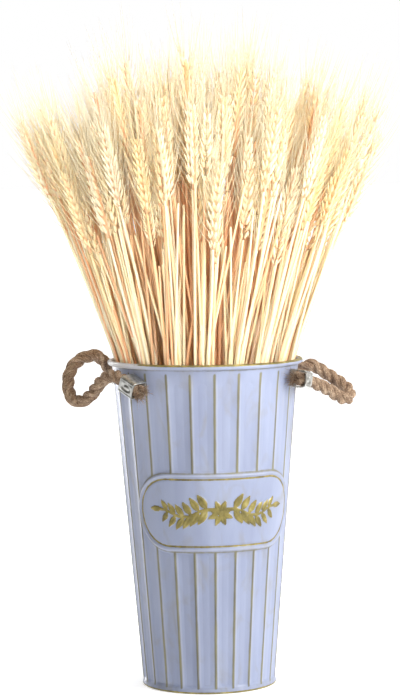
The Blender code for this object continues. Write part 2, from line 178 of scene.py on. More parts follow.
class Graph:
    """Short calls for the nodes of a material or of the world, which end in one target node."""

    def __init__(self, tree, target):
        self.nodes, self.links = tree.nodes, tree.links
        self.target = tree.nodes[target]

    def put(self, socket, value):
        """Links a socket, or sets a number, a vector or a colour on it."""
        if isinstance(value, bpy.types.NodeSocket):
            self.links.new(value, socket)
        elif socket.type == "RGBA":
            socket.default_value = (*value, 1.0)
        else:
            socket.default_value = value

    def set(self, name, value):
        self.put(self.target.inputs[name], value)

    def node(self, kind, inputs=None, output=0, **settings):
        """A new node with its settings and inputs; gives one of its outputs."""
        node = self.nodes.new("ShaderNode" + kind)
        for key, value in settings.items():
            setattr(node, key, value)
        for key, value in (inputs or {}).items():
            self.put(node.inputs[key], value)
        return node.outputs[output]

    def attribute(self, name):
        return self.node("Attribute", output="Fac", attribute_name=name)

    def noise(self, scale, detail=4.0, stretch=(1, 1, 1), distortion=0.0):
        """Noise on the object's own coordinates, stretched where asked."""
        place = self.node("Mapping", {"Vector": self.node("TexCoord", output="Object"), "Scale": stretch})
        return self.node("TexNoise", {"Vector": place, "Scale": scale, "Detail": detail,
                                      "Distortion": distortion})

    def axis(self, space, name):
        return self.node("SeparateXYZ", {0: self.node("TexCoord", output=space)}, name)

    def ramp(self, value, *stops):
        node = self.nodes.new("ShaderNodeValToRGB")
        elements = node.color_ramp.elements
        while len(elements) < len(stops):
            elements.new(0.5)
        for element, (position, colour) in zip(elements, stops):
            element.position = position
            element.color = (*colour, 1.0)
        self.links.new(value, node.inputs["Fac"])
        return node.outputs["Color"]

    def fade(self, value, low, high):
        return self.ramp(value, (low, BLACK), (high, WHITE))

    def maths(self, operation, *values):
        return self.node("Math", dict(enumerate(values)), operation=operation)

    def plus(self, first, second):
        return self.maths("ADD", first, second)

    def minus(self, first, second):
        return self.maths("SUBTRACT", first, second)

    def times(self, first, second):
        return self.maths("MULTIPLY", first, second)

    def blend(self, share, first, second):
        """The Mix node's colours: its inputs 6 and 7, and its output 2."""
        return self.node("Mix", {0: share, 6: first, 7: second}, 2, data_type="RGBA")

    def bump(self, height, distance, strength):
        self.set("Normal", self.node("Bump", {"Height": height, "Distance": distance, "Strength": strength}))


def new_look(name, roughness, metallic=0.0):
    material = bpy.data.materials.new(name)
    material.use_nodes = True
    look = Graph(material.node_tree, "Principled BSDF")
    look.set("Roughness", roughness)
    look.set("Metallic", metallic)
    return material, look


def paint_material():
    """Lavender-blue paint with dull gold rubbed on the arrises, the rim, the foot and the relief, and painted
    highlights beside the arrises, on the plaque's ridge and on the rim.
    """
    material, look = new_look("painted_sheet_look", 0.42)
    look.set("Specular IOR Level", 0.36)
    mottle = look.noise(26.0, 5.0, (1, 1, 0.35))
    streak = look.noise(90.0, 3.0, (1, 1, 0.12))
    break_up = look.noise(260.0, 5.0, (1, 1, 0.3))
    slow = look.noise(30.0, 2.0)
    patina = look.fade(look.noise(62.0, 6.0, (1, 1, 0.5), 0.8), 0.52, 0.72)
    paint = look.ramp(mottle, (0.30, PAINT_DEEP), (0.70, PAINT_FRESH))
    paint = look.blend(look.times(streak, 0.34), paint, PAINT_STREAK)
    paint = look.blend(look.times(patina, 0.30), paint, PAINT_AGED)
    ragged = look.plus(look.times(break_up, 0.9), look.times(slow, 0.7))
    edge = look.attribute("edge")
    wash = look.fade(look.minus(look.plus(ragged, 1.1), edge), 0.0, 1.0)
    paint = look.blend(look.times(wash, 0.34), paint, PAINT_STAIN)
    # The pale attribute is painted highlight: beside each arris, on the plaque's ridge and on the rim.
    paint = look.blend(look.attribute("pale"), paint, PAINT_HIGHLIGHT)
    arris = look.fade(look.minus(look.plus(ragged, 0.72), edge), 0.0, 0.90)
    paint = look.blend(look.times(arris, 0.90), paint, look.ramp(slow, *OLIVE))
    worn = look.plus(look.attribute("gold"), look.times(look.minus(break_up, 0.5), 0.55))
    gilt = look.fade(worn, 0.38, 0.58)
    look.set("Base Color", look.blend(gilt, paint, look.ramp(look.noise(120.0), *GOLD)))
    look.set("Metallic", look.times(gilt, 0.35))
    look.set("Roughness", look.plus(look.times(mottle, 0.16), 0.32))
    look.bump(look.plus(break_up, look.times(slow, 0.6)), 0.00025, 0.5)
    return material


def base_material():
    material, look = new_look("base_sheet_look", 0.5)
    look.set("Base Color", look.ramp(look.noise(40.0, 6.0), *BASE_PAINT))
    look.bump(look.noise(300.0, 3.0), 0.0002, 0.5)
    return material


def strap_material():
    material, look = new_look("strap_steel_look", 0.34, 0.85)
    brushed = look.noise(420.0, 4.0, (1, 1, 0.2))
    look.set("Base Color", look.ramp(brushed, *STEEL))
    look.set("Roughness", look.plus(look.times(brushed, 0.25), 0.22))
    look.bump(brushed, 0.0001, 0.6)
    return material


def jute_material():
    material, look = new_look("jute_look", 0.92)
    fibre = look.noise(620.0, 6.0, distortion=2.5)
    value = look.plus(look.times(fibre, 1.10), look.times(look.noise(150.0, 3.0), 0.55))
    # The tone attribute carries painted shade between the rope's strands and yarns, and a random tone.
    value = look.plus(value, look.maths("MULTIPLY_ADD", look.attribute("tone"), 0.40, -0.40))
    look.set("Base Color", look.ramp(value, *JUTE))
    look.bump(fibre, 0.0010, 1.0)
    return material


def straw_material():
    """Dry straw: pale satin stems, matt husks and pale awns, with painted shade that turns them orange at the
    husks' feet, low on the stems and deep in the sheaf.
    """
    material, look = new_look("straw_look", 0.62)
    along = look.noise(240.0, 4.0, (1, 1, 0.10))
    speck = look.noise(900.0, 3.0)
    value = look.plus(look.times(look.attribute("tone"), 0.62), look.times(along, 0.40))
    fresh = look.ramp(look.plus(value, look.times(speck, 0.10)), *STRAW)
    # The root attribute is painted shade, which blends the straw towards orange.
    look.set("Base Color", look.blend(look.attribute("root"), fresh, STRAW_PAINTED_SHADE))
    look.set("Roughness", look.plus(look.times(along, 0.3), 0.42))
    look.bump(look.plus(along, speck), 0.0002, 0.5)
    return material


# Meshes

def make_piece(name, places, faces, material, node, attributes=None, angle=40):
    """A mesh piece that rides on the part's one body in place of a solid."""
    mesh = bpy.data.meshes.new(name)
    mesh.from_pydata(np.asarray(places).tolist(), [], faces)
    for key, values in (attributes or {}).items():
        layer = mesh.attributes.new(key, "FLOAT", "POINT")
        layer.data.foreach_set("value", np.ascontiguousarray(values, dtype=np.float32))
    mesh.materials.append(material)
    mesh.shade_smooth()
    if angle < 180:
        mesh.set_sharp_from_angle(angle=math.radians(angle))
    piece = bpy.data.objects.new(name, mesh)
    bpy.context.collection.objects.link(piece)
    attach(piece, "root")
    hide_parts(node)
    return piece


def grid_faces(rows, columns, closed_rows=False):
    """Quads over a grid whose columns go all the way round."""
    row = np.arange(rows if closed_rows else rows - 1)
    low, step = np.meshgrid(row, np.arange(columns), indexing="ij")
    high = (low + 1) % rows
    after = (step + 1) % columns
    quads = np.stack([low * columns + step, low * columns + after,
                      high * columns + after, high * columns + step], axis=-1)
    return quads.reshape(-1, 4).tolist()


def ring_points(line, radius, first, second, sides):
    """Points in circles round a line, with a radius for each station or for each point."""
    turns = np.arange(sides) * 2 * math.pi / sides
    circle = (first[:, None, :] * np.cos(turns)[None, :, None]
              + second[:, None, :] * np.sin(turns)[None, :, None])
    return (line[:, None, :] + np.reshape(radius, (len(line), -1, 1)) * circle).reshape(-1, 3)


class Growth:
    """Points, faces, tones and shares of painted shade of one piece, gathered as it grows."""

    def __init__(self):
        self.points, self.faces, self.tones, self.roots = [], [], [], []
        self.count = 0

    def add(self, places, faces, tone, root=0.0):
        self.points.append(places)
        self.faces += [tuple(corner + self.count for corner in face) for face in faces]
        self.tones.append(np.broadcast_to(tone, len(places)))
        self.roots.append(np.broadcast_to(root, len(places)))
        self.count += len(places)


BRISTLE_FACES = [(level + corner, level + (corner + 1) % 3, level + 3 + (corner + 1) % 3, level + 3 + corner)
                 for level in (0, 3) for corner in range(3)]
BRISTLE_FACES += [(6 + corner, 6 + (corner + 1) % 3, 9) for corner in range(3)] + [(2, 1, 0)]


def bristle(path, shares, radius, taper, ahead, guide):
    """Points of a three-sided bristle along a path, a function of a share from 0 to 1, to its sharp tip."""
    aside = unit(np.cross(ahead, guide))
    other = np.cross(ahead, aside)
    places = []
    for share in shares:
        for corner in range(3):
            reach = swing(aside, other, 2 * math.pi * corner / 3) * radius
            places.append(path(share) + reach * (1 - taper * share))
    return np.array(places + [path(1.0)])


# The bucket's wall

LEAF_LENGTH = 0.0165
LEAF_HALF_WIDTH = 0.0042
SPRIG_HALF_LENGTH = 0.058
SPRIG_WAVE = 0.0035
ORNAMENT_RISE = 0.0011
FIELD_RISE = 0.0004
RIDGE_RISE = 0.0014
GROOVE_DEPTH = 0.0006
SEAM_RISE = 0.0007
INNER_GAP = 0.0009


def plaque_distance(across, up):
    """How far outside the plaque's stadium a point of the unrolled wall lies; negative inside."""
    half = (PLAQUE_HIGH - PLAQUE_LOW) / 2
    straight = PLAQUE_HALF_ANGLE * wall_radius((PLAQUE_LOW + PLAQUE_HIGH) / 2) - half
    return np.hypot(np.maximum(np.abs(across) - straight, 0), up) - half


def leaf_relief(across, up, foot, turn, length, width):
    """A pointed leaf with a vein, as a height from 0 to 1."""
    cosine, sine = math.cos(turn), math.sin(turn)
    along = ((across - foot[0]) * cosine + (up - foot[1]) * sine) / length
    aside = -(across - foot[0]) * sine + (up - foot[1]) * cosine
    reach = width * np.sin(math.pi * np.clip(along, 0, 1) ** 0.8) ** 0.9
    inside = 1 - np.abs(aside) / np.maximum(reach, 1e-6)
    body = smooth(0.0, 0.45, np.where((along > 0) & (along < 1), inside, -1))
    vein = 1 - smooth(0.0, 0.0007, np.abs(aside))
    return body * (1 - 0.45 * vein)


def ornament(across, up):
    """A leafy sprig along the plaque, mirrored about a flower in the middle, as a height from 0 to 1."""
    side = np.abs(across)
    wave = SPRIG_WAVE * np.sin(side / SPRIG_HALF_LENGTH * 2.5 * math.pi)
    stem = (1 - smooth(0.0009, 0.0016, np.abs(up - wave))) * (side < SPRIG_HALF_LENGTH)
    height = stem * 0.8
    leaves = 6
    for number in range(leaves):
        start = mix(0.0125, SPRIG_HALF_LENGTH - 0.008, number / (leaves - 1))
        root = SPRIG_WAVE * math.sin(start / SPRIG_HALF_LENGTH * 2.5 * math.pi)
        size = mix(1.0, 0.72, number / (leaves - 1))
        for lift in (1, -1):
            foot = (start, root + lift * 0.0008)
            leaf = leaf_relief(side, up, foot, lift * math.radians(56), LEAF_LENGTH * size,
                               LEAF_HALF_WIDTH * size)
            height = np.maximum(height, leaf)
    tip = leaf_relief(side, up, (SPRIG_HALF_LENGTH - 0.001, 0.0035), 0.0,
                      LEAF_LENGTH * 0.75, LEAF_HALF_WIDTH * 0.8)
    height = np.maximum(height, tip)
    petals = 8
    for number in range(petals):
        turn = 2 * math.pi * (number + 0.5) / petals
        foot = (0.0022 * math.cos(turn), 0.0022 * math.sin(turn))
        height = np.maximum(height, leaf_relief(across, up, foot, turn, 0.0105, 0.0031))
    heart = 1 - smooth(0.0018, 0.0030, np.hypot(across, up))
    return np.maximum(height, heart)


def wall_relief(angle, z):
    """Height of the pressed sheet over its cone, distance from an arris in mm, gilt share and share of
    painted highlight.
    """
    radius = wall_radius(z)
    middle = (PLAQUE_LOW + PLAQUE_HIGH) / 2
    across = (angle - PLAQUE_TURN) * wall_radius(middle)
    up = z - middle
    front = np.abs(angle - PLAQUE_TURN) < math.radians(80)
    outside = np.where(front, plaque_distance(across, up), 0.05)
    turn = 2 * math.pi / FLUTES
    place = (angle / turn + 0.5) % 1.0 - 0.5
    from_arris = np.abs(place) * turn * radius
    band = smooth(FLUTE_FOOT, FLUTE_FOOT + 0.004, z) * (1 - smooth(FLUTE_HEAD - 0.015, FLUTE_HEAD, z))
    back = np.abs(np.abs(angle) - math.pi) * radius
    seam = 1 - smooth(0.0034, 0.0048, back)
    band = band * smooth(-0.0002, 0.0016, outside) * (1 - seam)
    hollow = 1 - (1 - 2 * np.abs(place)) ** 2
    relief = -FLUTE_DEPTH * band * hollow
    relief = relief + SEAM_RISE * seam * smooth(0.005, 0.007, z) * (1 - smooth(0.301, 0.303, z))
    field = 1 - smooth(-0.0052, -0.0002, outside)
    ridge = bell(outside + 0.0024, 0.0013)
    groove = bell(outside + 0.0056, 0.0012)
    picture = ornament(across, up) * (outside < -0.010)
    relief = relief + FIELD_RISE * field + RIDGE_RISE * ridge - GROOVE_DEPTH * groove
    relief = relief + ORNAMENT_RISE * picture
    gold = np.maximum(smooth(0.10, 0.40, picture), groove * 0.78)
    # Painted highlight along the crest of the plaque's raised ridge.
    pale = 0.14 * bell(outside + 0.0022, 0.0009)
    # Painted highlight: a pale line 1.9 mm to one side of each arris, on its lit side.
    lit_side = place * turn * radius - 0.0019
    pale = pale + 0.10 * band * bell(lit_side, 0.0009)
    edge = np.where(band > 0.06, from_arris * 1000, 4.0)
    # Along the plaque's outer edge the low edge share turns the paint olive and stained: olive paint with a
    # painted shadow along that edge.
    edge = np.minimum(edge, np.where(np.abs(outside) < 0.004, np.abs(outside + 0.0002) * 1000 + 0.55, 4.0))
    return relief, np.minimum(edge, 4.0), gold, pale


def shell_columns():
    """Angles round the wall: close together across the plaque, and one on every arris."""
    fine, coarse = 30, 14
    turn = 2 * math.pi / FLUTES
    angles = []
    for flute in range(FLUTES):
        start = -math.pi + flute * turn
        centre = start + turn / 2
        count = fine if abs(centre - PLAQUE_TURN) < PLAQUE_HALF_ANGLE + turn * 0.5 else coarse
        angles += [start + turn * step / count for step in range(count)]
    return np.array(angles)


def shell_rows():
    """Heights up the wall between its two beads, close together across the plaque."""
    rows = list(np.linspace(0.0050, 0.0145, 9)) + list(np.linspace(0.018, PLAQUE_LOW - 0.003, 16))
    rows += list(np.linspace(PLAQUE_LOW - 0.001, PLAQUE_HIGH + 0.001, 88))
    rows += list(np.linspace(PLAQUE_HIGH + 0.004, 0.284, 10)) + list(np.linspace(0.286, 0.300, 11))
    return np.array(rows + [0.3025, 0.3045])


RIM_CENTRE = 0.0902
RIM_HEIGHT = 0.3074
RIM_RADIUS = 0.00250


def bead_profile():
    """Rolled rim over the wall's head, from outside to inside: radius, height, gilt share and edge."""
    profile = []
    for turn in np.radians(np.linspace(-112, 212, 19)):
        gilt = float(smooth(math.radians(8), math.radians(24), turn) * (1 - smooth(2.0, 2.3, turn)))
        profile.append((RIM_CENTRE + RIM_RADIUS * math.cos(turn), RIM_HEIGHT + RIM_RADIUS * math.sin(turn),
                        gilt, 1.4 if turn < -0.9 else 2.6))
    return profile


def bucket_shell(material):
    """The pressed wall, row by row: its foot bead, its face, the rolled rim and back down inside."""
    angles = shell_columns()
    columns = len(angles)
    sine, cosine = np.sin(angles), -np.cos(angles)
    rows = []

    def add_row(radius, z, edge=4.0, gold=0.0, pale=0.0):
        values = (radius * sine, radius * cosine, z, edge, gold, pale)
        rows.append(np.stack([np.broadcast_to(value, columns) for value in values], axis=-1))

    foot = ((-0.0009, 0.0, 0.3), (0.0004, 0.0, 0.9), (0.0008, 0.0005, 1.0), (0.0009, 0.0012, 0.85),
            (0.0008, 0.0019, 0.25), (0.0006, 0.0028, 0.0), (0.0003, 0.0038, 0.0))
    for bulge, z, gold in foot:
        add_row(FOOT_RADIUS + bulge, z, 1.6, gold)
    for z in shell_rows():
        relief, edge, gold, pale = wall_relief(angles, np.full(columns, z))
        low_wash = 1.2 + 1000 * max(z - 0.0042, 0) * 0.4
        high_wash = 1.1 + 1000 * (0.3045 - z) * 0.5
        edge = np.minimum(edge, min(low_wash, high_wash))
        add_row(wall_radius(z) + relief, z, edge, gold, pale)
    # Painted highlight on the rim: faint all round and strong at its left end, where it takes the place of
    # the gilt.
    painted_rim_highlight = 0.75 * smooth(0.5, 0.9, -np.sin(angles))
    for radius, z, gold, edge in bead_profile():
        add_row(radius, z, edge, gold * (1 - painted_rim_highlight), 0.02 + painted_rim_highlight)
    for z in (0.300, 0.293, 0.287, 0.24, 0.18, 0.12, 0.06, 0.014, 0.008):
        relief = wall_relief(np.where(np.abs(angles) < math.radians(86), 1.6, angles), np.full(columns, z))[0]
        add_row(wall_radius(z) + np.minimum(relief, 0) - INNER_GAP, z)
    table = np.concatenate(rows)
    shares = {"edge": table[:, 3], "gold": table[:, 4], "pale": np.clip(table[:, 5], 0, 1)}
    return make_piece("bucket_wall", table[:, :3], grid_faces(len(rows), columns, closed_rows=True),
                      material, "bucket_shell", shares, angle=38)


def bucket_base(material):
    """The pressed base: flat in the middle, stepped up to a flange inside the wall."""
    steps = 96
    profile = ((0.0, 0.0), (0.020, 0.0), (0.0530, 0.0), (0.0538, 0.0003), (0.0545, 0.0012), (0.0556, 0.0020),
               (0.0582, 0.0020), (0.0595, 0.0026), (0.0599, 0.0040), (0.0599, 0.0088), (0.0593, 0.0090),
               (0.0588, 0.0086), (0.0588, 0.0042), (0.0581, 0.0032), (0.0553, 0.0032), (0.0540, 0.0024),
               (0.0533, 0.0014), (0.0524, 0.0012), (0.020, 0.0012), (0.0, 0.0012))
    rings = profile[1:-1]
    turns = np.arange(steps) * 2 * math.pi / steps
    points = [(radius * math.sin(turn), -radius * math.cos(turn), z) for radius, z in rings for turn in turns]
    faces = grid_faces(len(rings), steps)
    points += [(0, 0, 0), (0, 0, profile[-1][1])]
    last = (len(rings) - 1) * steps
    for step in range(steps):
        after = (step + 1) % steps
        faces.append((len(points) - 2, after, step))
        faces.append((len(points) - 1, last + step, last + after))
    return make_piece("pressed_base", points, faces, material, "bucket_base")


# Rope handles and their straps

def strap_frame(name):
    degrees, z, rise = STRAPS[name]
    angle = math.radians(degrees)
    taper = math.atan2(MOUTH_RADIUS - FOOT_RADIUS, HEIGHT)
    outward = around(angle, 1, 0) * math.cos(taper) - Vector((0, 0, math.sin(taper)))
    to_back = Vector((math.cos(angle), math.sin(angle), 0)) * (1 if angle > 0 else -1)
    to_loop = to_back if name.endswith("front") else -to_back
    upward = outward.cross(to_loop)
    if upward.z < 0:
        upward = -upward
    lean = math.radians(rise)
    along = to_loop * math.cos(lean) + upward * math.sin(lean)
    across = upward * math.cos(lean) - to_loop * math.sin(lean)
    return around(angle, wall_radius(z), z), along, across, outward


STRAP_FLAT_STEPS = 18
STRAP_ARC_STEPS = 8
STRAP_LENGTH_STEPS = 24
CRIMP_DEPTH = 0.0011


def strap_outline(sheet):
    """The strap's section at a distance from its inner face: foot, sides, rounded corners and top."""
    reach = ROPE_RADIUS + STRAP_ROOM + sheet
    corner = STRAP_CORNER + sheet
    foot = 2 * GAP + STRAP_SHEET - sheet
    top = ROPE_STANDOFF + reach
    bevel = 0.0010
    loop = [(reach - bevel, foot), (0, foot), (bevel - reach, foot),
            (0.3 * bevel - reach, foot + 0.3 * bevel), (-reach, foot + bevel), (-reach, (foot + top) / 2)]
    for step in range(STRAP_ARC_STEPS):
        turn = math.pi - math.pi / 2 * step / STRAP_ARC_STEPS
        loop.append((corner - reach + corner * math.cos(turn), top - corner + corner * math.sin(turn)))
    for step in range(STRAP_FLAT_STEPS + 1):
        loop.append((mix(corner - reach, reach - corner, step / STRAP_FLAT_STEPS), top))
    for step in range(1, STRAP_ARC_STEPS + 1):
        turn = math.pi / 2 * (1 - step / STRAP_ARC_STEPS)
        loop.append((reach - corner + corner * math.cos(turn), top - corner + corner * math.sin(turn)))
    loop += [(reach, (foot + top) / 2), (reach, foot + bevel), (reach - 0.3 * bevel, foot + 0.3 * bevel)]
    return np.array(loop)


def strap(name, material):
    """A bent strap with raised long edges, an oval crimp in its face and a foot flat on the wall."""
    seat, along, across, outward = strap_frame(name)
    inner, outer = strap_outline(0.0), strap_outline(STRAP_SHEET)
    half = STRAP_WIDTH / 2
    rim = 0.00035
    stations = [(-half + rim, 0.0), (-half, 0.30), (-half, 0.75), (-half + rim, 1.0)]
    for step in range(1, STRAP_LENGTH_STEPS):
        stations.append((mix(-half + rim, half - rim, step / STRAP_LENGTH_STEPS), 1.0))
    stations += [(half - rim, 1.0), (half, 0.75), (half, 0.30), (half - rim, 0.0)]
    rings = []
    for shift, share in stations:
        loop = inner + (outer - inner) * share
        x, y = loop[:, 0], loop[:, 1]
        face = (y > ROPE_STANDOFF + ROPE_RADIUS) & (share > 0.9)
        middle_ring = np.hypot(shift / 0.0046, x / 0.0030)
        crimp = CRIMP_DEPTH * bell(middle_ring - 0.9, 0.34)
        trough = 0.00055 * bell(np.abs(x) - 0.0050, 0.0005)
        lip = 0.0004 * bell(np.abs(x) - 0.0062, 0.0006)
        end_lip = 0.0003 * math.exp(-((half - abs(shift)) / 0.0012) ** 2)
        y = y + np.where(face, lip + end_lip - crimp - trough, 0.0)
        for side, rise in zip(x.tolist(), y.tolist()):
            rings.append(tuple(seat + along * shift + across * side + outward * rise))
    faces = grid_faces(len(stations), len(inner), closed_rows=True)
    piece = make_piece("bent_" + name, rings, faces, material, "strap_" + name, angle=50)
    shape = bmesh.new()
    shape.from_mesh(piece.data)
    bmesh.ops.recalc_face_normals(shape, faces=shape.faces)
    shape.to_mesh(piece.data)
    shape.free()
    return piece


def rope_route(side, loop):
    route = []
    for place in ("front", "back"):
        seat, along, _, outward = strap_frame(side + "_" + place)
        middle = seat + outward * ROPE_STANDOFF
        ends = [middle - along * ROPE_END_REACH, middle, middle + along * ROPE_STRAIGHT_REACH]
        if place == "front":
            route += ends + [Vector(point) for point in loop]
        else:
            route += reversed(ends)
    return np.array([tuple(point) for point in route])


def smooth_line(route, spacing):
    """Evenly spaced points on a smooth curve through the route, and their distance along it."""
    fine = []
    steps = 16
    for index in range(len(route) - 1):
        before = route[max(index - 1, 0)]
        start, end = route[index], route[index + 1]
        after = route[min(index + 2, len(route) - 1)]
        for step in range(steps):
            t = step / steps
            fine.append(0.5 * (2 * start + (end - before) * t
                               + (2 * before - 5 * start + 4 * end - after) * t ** 2
                               + (3 * start - before - 3 * end + after) * t ** 3))
    fine.append(route[-1])
    fine = np.array(fine)
    travelled = np.concatenate([[0], np.cumsum(np.linalg.norm(np.diff(fine, axis=0), axis=1))])
    count = int(travelled[-1] / spacing) + 1
    goal = np.linspace(0, travelled[-1], count)
    line = np.stack([np.interp(goal, travelled, fine[:, axis]) for axis in range(3)], axis=-1)
    return line, goal


def frames_along(line):
    """Unit directions along a line and two across it, which turn as little as they can."""
    ahead = np.gradient(line, axis=0)
    ahead /= np.linalg.norm(ahead, axis=1, keepdims=True)
    sides = [unit(np.cross(ahead[0], (0.3, 0.2, 0.93)))]
    for direction in ahead[1:]:
        sides.append(unit(sides[-1] - direction * np.dot(sides[-1], direction)))
    sides = np.array(sides)
    return ahead, sides, np.cross(ahead, sides)


STRANDS = 3
STRAND_LAY = 0.034
STRAND_RADIUS = 0.00325
STRAND_OFFSET = 0.00305
YARNS = 7
STRAND_SIDES = 20
ROPE_SPACING = 0.00085
END_FIBRES = 280
YARN_LAY = 0.0105
CAP_RISE = 0.0006
HAIRS = 420
HAIR_ROOT = 0.0006
HAIR_RADIUS = 0.00010
FIBRE_RADIUS = 0.00019


def add_strand(growth, number, line, travelled, across, over, draw):
    """One lumpy strand of twisted yarns that winds round the rope's line, closed at both ends."""
    turns = np.arange(STRAND_SIDES) * 2 * math.pi / STRAND_SIDES
    count, total = len(line), travelled[-1]
    wind = 2 * math.pi * (travelled / STRAND_LAY + number / STRANDS)
    outward = across * np.cos(wind)[:, None] + over * np.sin(wind)[:, None]
    fray = 1 + 0.12 * np.exp(-travelled / 0.004) + 0.12 * np.exp(-(total - travelled) / 0.004)
    centre = line + outward * (STRAND_OFFSET * fray)[:, None]
    way, _, _ = frames_along(centre)
    first = outward - way * np.sum(outward * way, axis=1, keepdims=True)
    first /= np.linalg.norm(first, axis=1, keepdims=True)
    yarn = YARNS * turns[None, :] - (travelled * 2 * math.pi / YARN_LAY)[:, None]
    lumps = draw.normal(0, 1, (count, STRAND_SIDES))
    lumps = (lumps + np.roll(lumps, 1, 0) + np.roll(lumps, 1, 1) + np.roll(lumps, 2, 0)) / 2
    radius = STRAND_RADIUS * (0.93 + 0.10 * np.abs(np.cos(yarn / 2)) + 0.022 * lumps)
    from_end = np.minimum(travelled, total - travelled)
    radius = radius * np.minimum(1.0, np.sqrt(np.clip(from_end / 0.0012, 0.0, 1)) + 0.25)[:, None]
    # Painted shade: each strand darker on its side towards the rope's core and between its yarns, and lighter
    # where its lumps bulge.
    groove = np.clip(-np.cos(turns), 0, 1)[None, :]
    tones = 0.52 + 0.30 * np.abs(np.cos(yarn / 2)) + 0.10 * lumps - 0.7 * groove
    rings = ring_points(centre, radius, first, np.cross(way, first), STRAND_SIDES)
    caps = centre[[0, -1]] + way[[0, -1]] * np.array([[-CAP_RISE], [CAP_RISE]])
    faces = grid_faces(count, STRAND_SIDES)
    last = (count - 1) * STRAND_SIDES
    after = [(step + 1) % STRAND_SIDES for step in range(STRAND_SIDES)]
    faces += [(after[step], step, len(rings)) for step in range(STRAND_SIDES)]
    faces += [(last + step, last + after[step], len(rings) + 1) for step in range(STRAND_SIDES)]
    growth.add(np.concatenate([rings, caps]), faces, np.append(tones, (0.7, 0.7)))


def rope(side, loop, material):
    """Three twisted strands of yarn, loose hairs all along and frayed ends."""
    draw = np.random.default_rng(5 if side == "left" else 6)
    line, travelled = smooth_line(rope_route(side, loop), ROPE_SPACING)
    ahead, across, over = frames_along(line)
    growth = Growth()
    for number in range(STRANDS):
        add_strand(growth, number, line, travelled, across, over, draw)
    for _ in range(HAIRS):
        spot = int(draw.integers(2, len(line) - 2))
        out = swing(across[spot], over[spot], draw.uniform(0, 2 * math.pi))
        start = line[spot] + out * (ROPE_RADIUS - HAIR_ROOT)
        lean = ahead[spot] * draw.choice((-1, 1)) * draw.uniform(0.6, 1.6) + out * draw.uniform(0.25, 0.8)
        lean += np.cross(ahead[spot], out) * draw.uniform(-0.8, 0.8)
        length = draw.uniform(0.0025, 0.0070)
        add_hair(growth, start, lean, length, draw.normal(0, 0.5, 3), draw, HAIR_RADIUS)
    for spot, sign in ((0, -1), (len(line) - 1, 1)):
        for _ in range(END_FIBRES):
            turn = draw.uniform(0, 2 * math.pi)
            reach = ROPE_RADIUS * math.sqrt(draw.random())
            out = swing(across[spot], over[spot], turn)
            start = line[spot] + out * reach - ahead[spot] * sign * 0.0015
            lean = ahead[spot] * sign + out * draw.uniform(0.0, 1.5) * reach / ROPE_RADIUS
            length = draw.uniform(0.003, 0.0078)
            add_hair(growth, start, lean, length, draw.normal(0, 0.40, 3), draw, FIBRE_RADIUS)
    return make_piece("jute_" + side, np.concatenate(growth.points), growth.faces, material,
                      "rope_" + side, {"tone": np.concatenate(growth.tones)}, angle=180)


def add_hair(growth, start, lean, length, curl, draw, radius):
    """A short curved fibre with three sides that ends in a point."""
    lean = unit(lean)

    def path(share):
        return start + lean * length * share + curl * length * share * share

    places = bristle(path, (0.0, 0.4, 0.75), radius, 0.5, lean, (0.31, 0.52, 0.79))
    growth.add(places, BRISTLE_FACES, draw.uniform(0.5, 1.0))


# Straws and ears

def spread_at(z):
    if z <= BEND_Z:
        return mix(SPREAD_BUTT, SPREAD_BEND, z / BEND_Z)
    return mix(SPREAD_BEND, SPREAD_TOP, (z - BEND_Z) / (FAN_TOP_Z - BEND_Z))


def straw_plan():
    """The same draws as the solids: for each clump its straws, with their stations and their ears."""
    draw = random.Random(SEED)
    clumps = []
    for ring, count in enumerate(CLUMP_RINGS):
        start = draw.uniform(0, 2 * math.pi)
        for place in range(count):
            turn = start + 2 * math.pi * place / count
            first = draw.uniform(0, 2 * math.pi)
            spin = draw.uniform(-CLUMP_SPIN, CLUMP_SPIN)
            order = draw.sample(range(STRAWS_PER_CLUMP), STRAWS_PER_CLUMP)
            straws = []
            for member in range(STRAWS_PER_CLUMP):
                angle = first + 2 * math.pi * member / STRAWS_PER_CLUMP
                stations = []
                for z, twist, jitter in ((BUTT_Z, 0, 0), (BEND_Z, 0.3, JITTER_BEND),
                                         (FAN_TOP_Z, 1, JITTER_TOP)):
                    ring_turn = turn + RING_TWIST[ring] * twist
                    own_turn = angle + spin * twist
                    x = ring * RING_STEP * math.cos(ring_turn) + CLUMP_REACH * math.cos(own_turn)
                    y = ring * RING_STEP * math.sin(ring_turn) + CLUMP_REACH * math.sin(own_turn)
                    slip = jitter * math.sqrt(draw.random())
                    slip_turn = draw.uniform(0, 2 * math.pi)
                    stations.append(np.array((x * spread_at(z) + slip * math.cos(slip_turn),
                                              y * spread_at(z) + slip * math.sin(slip_turn), z)))
                rank = (order[member] + draw.random()) / STRAWS_PER_CLUMP
                straws.append({"stations": stations, "neck": mix(EAR_LOW[ring], EAR_HIGH[ring], rank),
                               "length": draw.uniform(*EAR_LENGTH), "face": draw.uniform(0, 2 * math.pi)})
                for _ in range(AWN_DRAWS):
                    draw.random()
            clumps.append(straws)
    return clumps


STEM_SIDES = 8
SLIM_SIDES = 5
STEM_BUTT = 0.0019
STEM_MOUTH = 0.00175
STEM_NECK = 0.00115
SLIM_SHARE = 0.84
JOINT_SWELL = 0.42
JOINT_LENGTH = 0.0022


